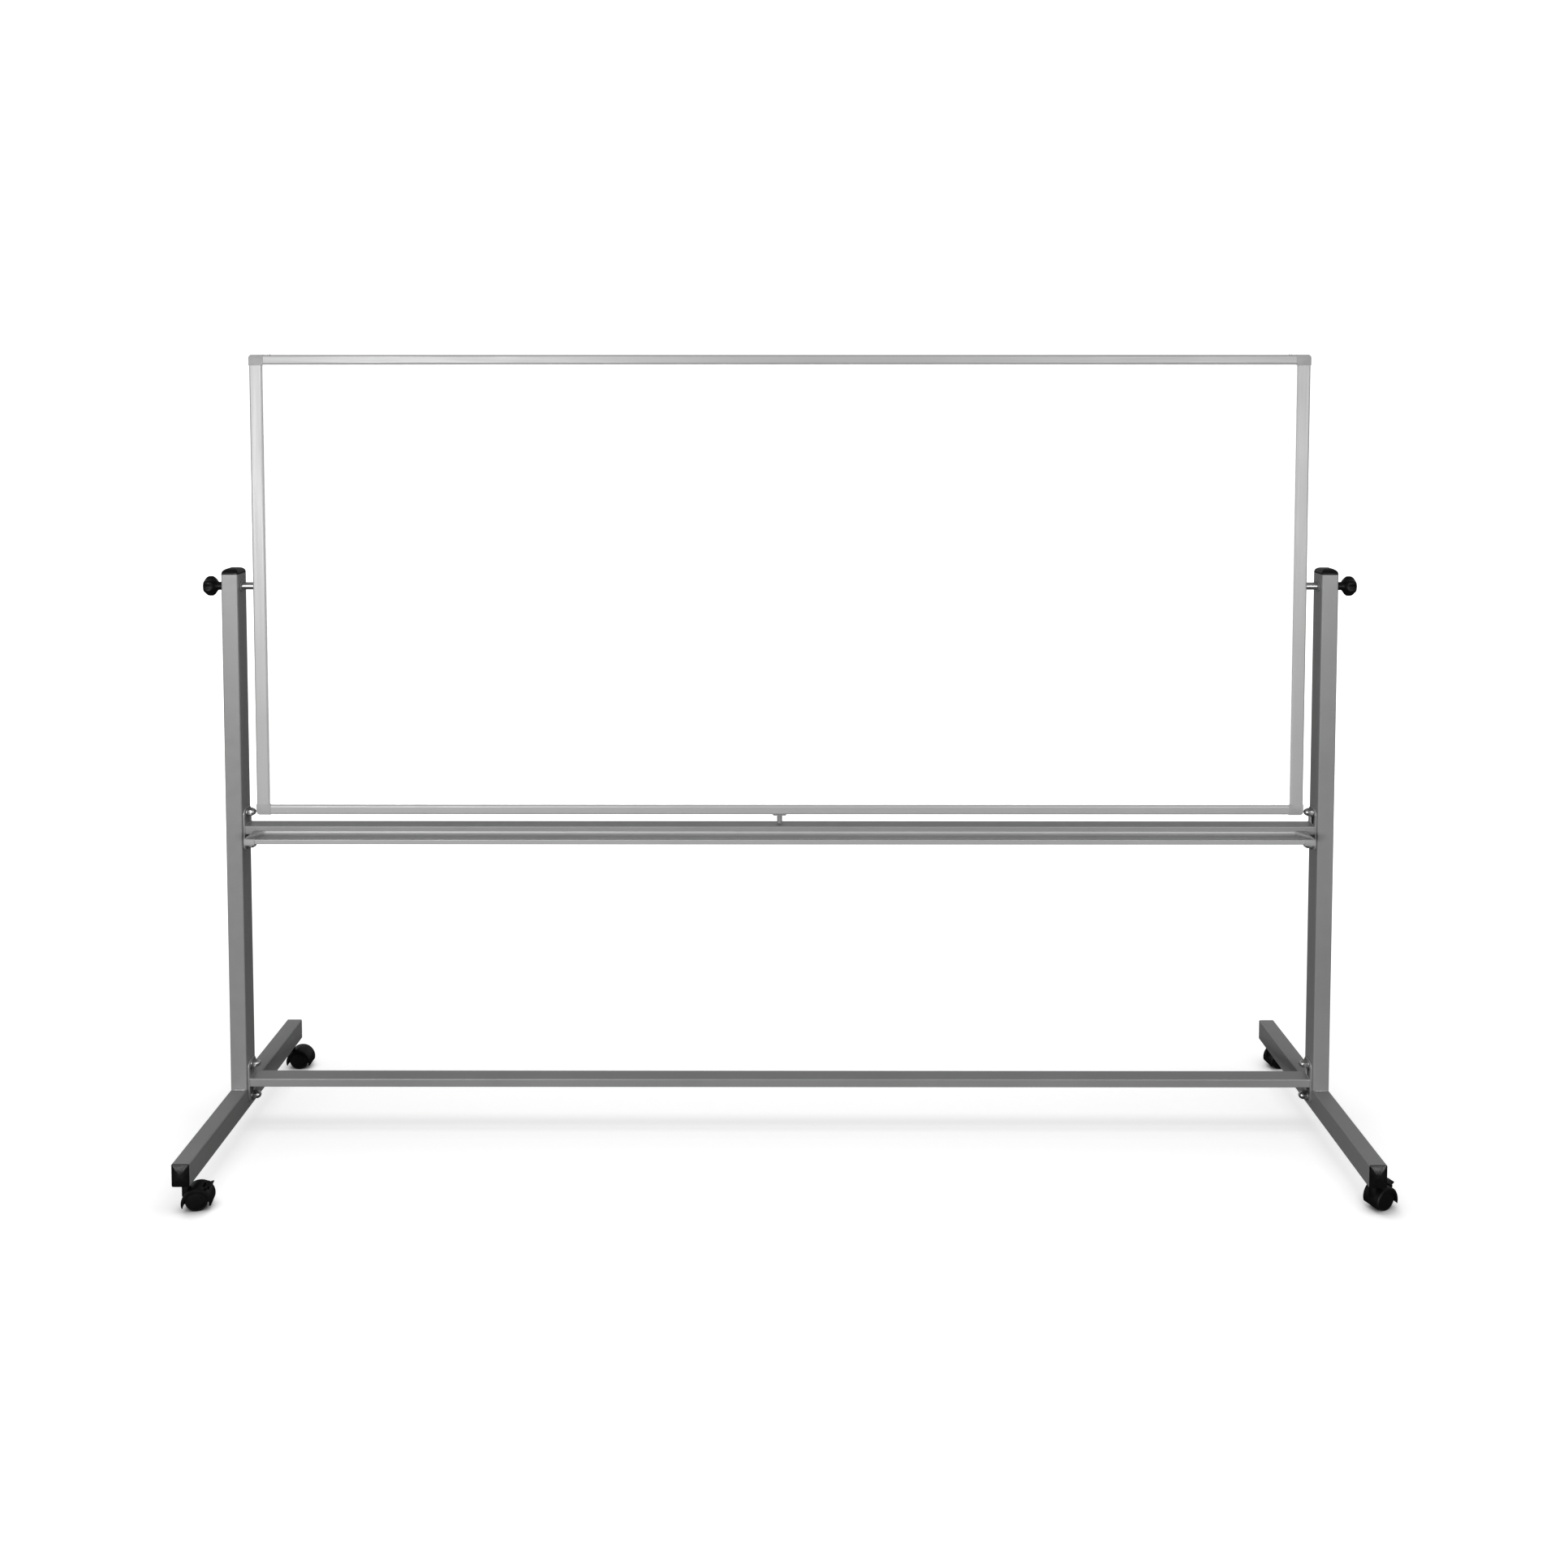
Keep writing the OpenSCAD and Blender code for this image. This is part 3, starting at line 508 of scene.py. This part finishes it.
KNOB_LOBES = 6
KNOB_STEPS = 96
KNOB_PROFILE = (  # share of length, share of radius, lobe depth
    (0.0, 0.40, 0.0), (0.03, 0.43, 0.0), (0.20, 0.40, 0.0), (0.28, 0.46, 0.0), (0.36, 0.66, 0.03),
    (0.43, 0.86, 0.08), (0.50, 0.97, 0.14), (0.56, 1.0, 0.17), (0.70, 1.0, 0.17), (0.78, 0.96, 0.16),
    (0.85, 0.87, 0.12), (0.91, 0.72, 0.07), (0.955, 0.52, 0.03), (0.985, 0.30, 0.0), (1.0, 0.10, 0.0))


def build_knob(side):
    low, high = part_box(f"knob_{side}")
    length = high.x - low.x
    radius = (high.z - low.z) / 2
    out = SIDES[side]
    start = low.x if out > 0 else high.x
    place = Matrix.Translation((start, 0, (low.z + high.z) / 2)) @ Matrix.Rotation(out * math.pi / 2, 4, "Y")
    shape = Shape()
    rings = [circle_ring(r * radius, h * length, KNOB_STEPS, KNOB_LOBES, depth)
             for h, r, depth in KNOB_PROFILE]
    shape.loft(rings, place)
    shape.object(f"knob_grip_{side}", [SURFACES["black_plastic"]], f"knob_{side}",
                 [f"knob_{side}"], 60)


# ---------- caster wheels ----------

WHEEL_STEPS = 72
WHEEL_PROFILE = (  # share of radius, share of width from the inner face, 1 for tread
    (0.16, 0.03, 0), (0.84, 0.0, 0), (0.88, 0.02, 1), (0.96, 0.04, 1), (0.99, 0.09, 1), (1.0, 0.18, 1),
    (1.0, 0.60, 1), (0.99, 0.70, 1), (0.965, 0.79, 1), (0.925, 0.86, 1), (0.88, 0.90, 1), (0.855, 0.89, 1),
    (0.845, 0.84, 0), (0.825, 0.84, 0), (0.815, 0.89, 0), (0.79, 0.915, 0), (0.65, 0.955, 0), (0.45, 0.99, 0),
    (0.25, 1.01, 0), (0.10, 1.02, 0), (0.02, 1.02, 0))


def build_wheel(end, side, which):
    node = f"wheel_{end}_{side}_{which}"
    joint = JOINTS[f"roll_{end}_{side}_{which}"]
    centre = Vector(joint["pos_m"])
    axis = Vector(joint["axis"])
    points = [v.co for v in frame["nodes"][node].data.vertices]
    reach = [(p - centre).dot(axis) for p in points]
    outward = 1 if sum(reach) > 0 else -1
    inner = min(abs(min(reach)), abs(max(reach)))
    width = max(abs(min(reach)), abs(max(reach))) - inner
    radius = centre.z
    turn = (axis * outward).to_track_quat("Z", "X").to_matrix().to_4x4()
    place = Matrix.Translation(centre + axis * outward * inner) @ turn
    shape = Shape()
    shape.loft([circle_ring(r * radius, h * width, WHEEL_STEPS) for r, h, _ in WHEEL_PROFILE], place)
    for band, (_, _, tread) in enumerate(WHEEL_PROFILE[:-1]):
        shape.tags[band * WHEEL_STEPS:(band + 1) * WHEEL_STEPS] = [tread] * WHEEL_STEPS
    surfaces = [SURFACES["black_plastic"], SURFACES["black_tread"]]
    shape.object(f"wheel_disc_{end}_{side}_{which}", surfaces, node, [node], 30)


# ---------- latch spring ----------

SPRING_WIRE_RADIUS = 0.35 * MM
SPRING_TURNS = 9
SPRING_STEPS_PER_TURN = 24
SPRING_WIRE_SIDES = 8


def build_latch_spring():
    """The coil in the latch barrel, wound at an even pitch from the bottom of its box to the top."""
    low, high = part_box("latch_spring")
    wire = SPRING_WIRE_RADIUS
    steps = SPRING_TURNS * SPRING_STEPS_PER_TURN
    centre = (low + high) / 2
    coil = (high.x - low.x) / 2 - wire
    down = Vector((0, 0, -1))
    rings = []
    for i in range(steps + 1):
        turn = 2 * math.pi * i / SPRING_STEPS_PER_TURN
        out = Vector((math.cos(turn), math.sin(turn), 0))
        height = low.z + wire + (high.z - low.z - 2 * wire) * i / steps
        middle = Vector((centre.x, centre.y, height)) + coil * out
        rings.append([middle + wire * (math.cos(t) * out + math.sin(t) * down)
                      for t in (2 * math.pi * j / SPRING_WIRE_SIDES for j in range(SPRING_WIRE_SIDES))])
    shape = Shape()
    shape.loft(rings)
    spring = shape.object("latch_spring_coil", [SURFACES["zinc_steel"]], "board",
                          ["latch_spring"], 60)
    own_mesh(spring)


build_post_caps()
build_foot_caps()
build_welds()
build_tray_gussets()
build_latch_spring()
for side in SIDES:
    build_knob(side)
for end, side in CASTERS:
    for which in ("outer", "inner"):
        build_wheel(end, side, which)


# ---------- floor, light and camera ----------

FLOOR_HALF_WIDTH = 40.0
FLOOR_SQUARES = 8
FLOOR_GLOW = 0.50
FAR_FLOOR_GLOW = 1.1
GLOW_RISES_FROM = 1.4  # metres from the stand's middle
GLOW_RISES_TO = 3.0
FLOOR_BOUNCE = 0.08
PAINTED_CONTACT_SHADOW_REACH = 0.055  # metres; how far the painted contact shadow reaches round things that touch the floor
HORIZON_GLOW = 0.66
CEILING_GLOW = 0.22
BACKDROP_GLOW = 1.2
LEFT_SOFTBOX_WATTS = 170
RIGHT_SOFTBOX_WATTS = 88
SHEET_FILL_WATTS = 420
OVERHEAD_WATTS = 62
CAP_GLOW_WATTS = 3.5


def floor_material():
    """White paper to the camera, with soft shadows from the overhead lamp and a painted contact shadow near
    the casters and feet, and a dull floor to the light that it bounces.
    """
    g = Graph("white_sweep")
    distance = g.add("ShaderNodeVectorMath", {0: g.place}, operation="LENGTH").outputs["Value"]
    glow = g.spread(distance, FLOOR_GLOW, FAR_FLOOR_GLOW, GLOW_RISES_FROM, GLOW_RISES_TO)
    seen = g.add("ShaderNodeLightPath").outputs["Is Camera Ray"]
    # Painted contact shadow: ambient occlusion near the casters and feet dims the floor's glow and darkens
    # its colour towards dark grey.
    open_share = g.add("ShaderNodeAmbientOcclusion", {"Distance": PAINTED_CONTACT_SHADOW_REACH}).outputs["AO"]
    painted_contact_shadow = g.spread(open_share, 0.0, 1.0, 0.15, 0.85)
    glow = g.times(glow, painted_contact_shadow)
    paper = g.spread(g.noise(60, 3), 0.0, 1.0)
    white = g.blend(painted_contact_shadow, grey(0.1), g.blend(paper, grey(0.80), grey(0.82)))
    g.set(Base_Color=g.blend(seen, grey(FLOOR_BOUNCE), white), Roughness=0.9, Emission_Color=grey(1.0),
          Emission_Strength=g.times(glow, seen), Normal=g.bump(g.noise(400, 2), 0.0001, 0.1))
    g.shader.inputs["Specular IOR Level"].default_value = 0.0
    return g.material


def build_floor():
    steps = FLOOR_SQUARES
    row = steps + 1
    lines = [FLOOR_HALF_WIDTH * (2 * i / steps - 1) for i in range(row)]
    points = [(x, y, 0) for y in lines for x in lines]
    faces = [(a, a + 1, a + row + 1, a + row) for j in range(steps) for a in range(j * row, j * row + steps)]
    mesh = bpy.data.meshes.new("floor")
    mesh.from_pydata(points, [], faces)
    mesh.materials.append(floor_material())
    floor = bpy.data.objects.new("floor", mesh)
    bpy.context.scene.collection.objects.link(floor)
    floor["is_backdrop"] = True
    return floor


def build_world():
    """A room that is bright towards the horizon and darker overhead, in front of a white backdrop."""
    world = bpy.data.worlds.new("studio")
    bpy.context.scene.world = world
    world.use_nodes = True
    nodes, links = world.node_tree.nodes, world.node_tree.links
    back = nodes["Background"]
    back.inputs["Color"].default_value = (1, 1, 1, 1)
    split = nodes.new("ShaderNodeSeparateXYZ")
    links.new(nodes.new("ShaderNodeTexCoord").outputs["Generated"], split.inputs[0])
    height = nodes.new("ShaderNodeMapRange")
    height.inputs["To Min"].default_value = HORIZON_GLOW
    height.inputs["To Max"].default_value = CEILING_GLOW
    links.new(split.outputs["Z"], height.inputs["Value"])
    amount = nodes.new("ShaderNodeMapRange")
    amount.inputs["To Max"].default_value = BACKDROP_GLOW
    links.new(nodes.new("ShaderNodeLightPath").outputs["Is Camera Ray"], amount.inputs["Value"])
    links.new(height.outputs["Result"], amount.inputs["To Min"])
    links.new(amount.outputs["Result"], back.inputs["Strength"])


def aim(thing, target):
    thing.rotation_euler = (Vector(target) - thing.location).to_track_quat("-Z", "Y").to_euler()


def collection_of(name, members):
    group = bpy.data.collections.new(name)
    for member in members:
        group.objects.link(member)
    return group


def light_only(light, members):
    light.light_linking.receiver_collection = collection_of("lit_by_" + light.name, members)


def area_light(name, place, target, width, height, watts):
    data = bpy.data.lights.new(name, "AREA")
    data.shape = "RECTANGLE"
    data.size = width
    data.size_y = height
    data.energy = watts
    light = bpy.data.objects.new(name, data)
    bpy.context.scene.collection.objects.link(light)
    light.location = place
    aim(light, target)
    return light


def build_lights(floor):
    """Softboxes for the metal, fills for the sheets, a lamp over the floor, cards below the foot caps."""
    sheets = [frame["nodes"][name] for name in ("front_writing_sheet", "rear_writing_sheet")]
    others = [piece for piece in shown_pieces() if piece not in sheets]
    left = area_light("front_left_softbox", (-2.4, -5.4, 1.35), (-0.4, 0, 1.1), 2.2, 0.7, LEFT_SOFTBOX_WATTS)
    right = area_light("front_right_softbox", (2.6, -5.6, 1.3), (0.6, 0, 1.1), 1.6, 0.7, RIGHT_SOFTBOX_WATTS)
    for light in (left, right):
        light_only(light, others)
    for y in (-6.5, 6.5):
        light_only(area_light("sheet_fill", (0, y, 1.6), (0, 0, 1.3), 4.0, 2.0, SHEET_FILL_WATTS), sheets)

    above = area_light("floor_overhead", (0, -0.55, 3.4), (0, 0, 0), 4.5, 1.8, OVERHEAD_WATTS)
    light_only(above, [floor])
    stand = [piece for piece in others if body_of(piece) != ["board"]]
    above.light_linking.blocker_collection = collection_of("shadows_on_floor", stand)

    caps = bpy.data.objects["foot_cap_domes"]
    low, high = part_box("foot_end_caps")
    for sign in SIDES.values():
        place = (sign * (high.x + 0.19), low.y - 0.50, 0.002)
        card = area_light("cap_glow", place, (place[0], place[1], 1), 0.26, 0.20, CAP_GLOW_WATTS)
        card.visible_camera = False
        light_only(card, [caps])


SENSOR_MM = 36
LENS_MM = 29.818
LENS_SHIFT = -0.20875  # share of the picture's width
CAMERA_PLACE = (0.0149, -2.9971, 1.7302)
CAMERA_PITCH_DOWN = 2.56  # degrees
CAMERA_TURN_LEFT = 0.087  # degrees


def build_camera():
    """The user's view, with the lens shifted down, but only while the camera stands at this place."""
    data = bpy.data.cameras.new("camera")
    data.sensor_width = SENSOR_MM
    data.lens = LENS_MM
    data.clip_end = 200
    camera = bpy.data.objects.new("camera", data)
    bpy.context.scene.collection.objects.link(camera)
    camera.location = CAMERA_PLACE
    camera.rotation_euler = (math.radians(90 - CAMERA_PITCH_DOWN), 0, math.radians(CAMERA_TURN_LEFT))
    driver = data.driver_add("shift_y").driver
    driver.type = "SCRIPTED"
    where = driver.variables.new()
    where.name = "y"
    where.type = "SINGLE_PROP"
    where.targets[0].id = camera
    where.targets[0].data_path = "location[1]"
    driver.expression = f"{LENS_SHIFT} if abs(y - {CAMERA_PLACE[1]}) < 0.001 else 0.0"
    bpy.context.scene.camera = camera


floor = build_floor()
build_world()
build_lights(floor)
build_camera()
bpy.context.scene.view_settings.view_transform = "Standard"
